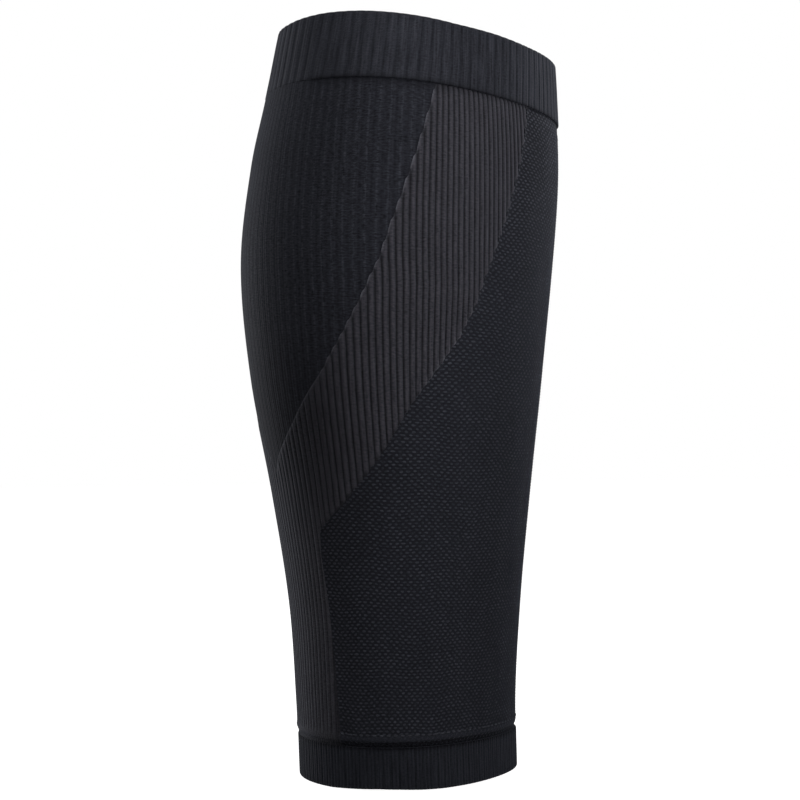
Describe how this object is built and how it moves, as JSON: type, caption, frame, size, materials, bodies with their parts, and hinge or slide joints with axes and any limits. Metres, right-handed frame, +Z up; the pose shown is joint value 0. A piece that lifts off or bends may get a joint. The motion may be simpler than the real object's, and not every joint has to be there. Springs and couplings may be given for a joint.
{
  "type": "calf sleeve",
  "caption": "Knitted sleeve for the lower leg in its worn form: an open tapered tube with folded cuffs, a fine-rib calf, a bold-rib support band and a dotted mesh shin.",
  "frame": {"origin": "on the leg's axis, in the lower opening", "axes": "+Z up the leg towards the knee, -Y towards the shin, +Y towards the calf, -X to the wearer's right"},
  "size_m": [0.12, 0.136, 0.3056],
  "materials": {
    "cuff_rib": "doubled rib knit, matte, near black",
    "fine_rib": "fine rib knit, matte, near black",
    "bold_rib": "bold rib knit, matte, charcoal",
    "dotted_mesh": "dotted mesh knit, matte, near black"
  },
  "bodies": {
    "root": {"top_cuff": "cuff_rib", "calf_panel": "fine_rib", "rib_band": "bold_rib", "shin_panel": "dotted_mesh", "bottom_cuff": "cuff_rib"}
  },
  "joints": []
}
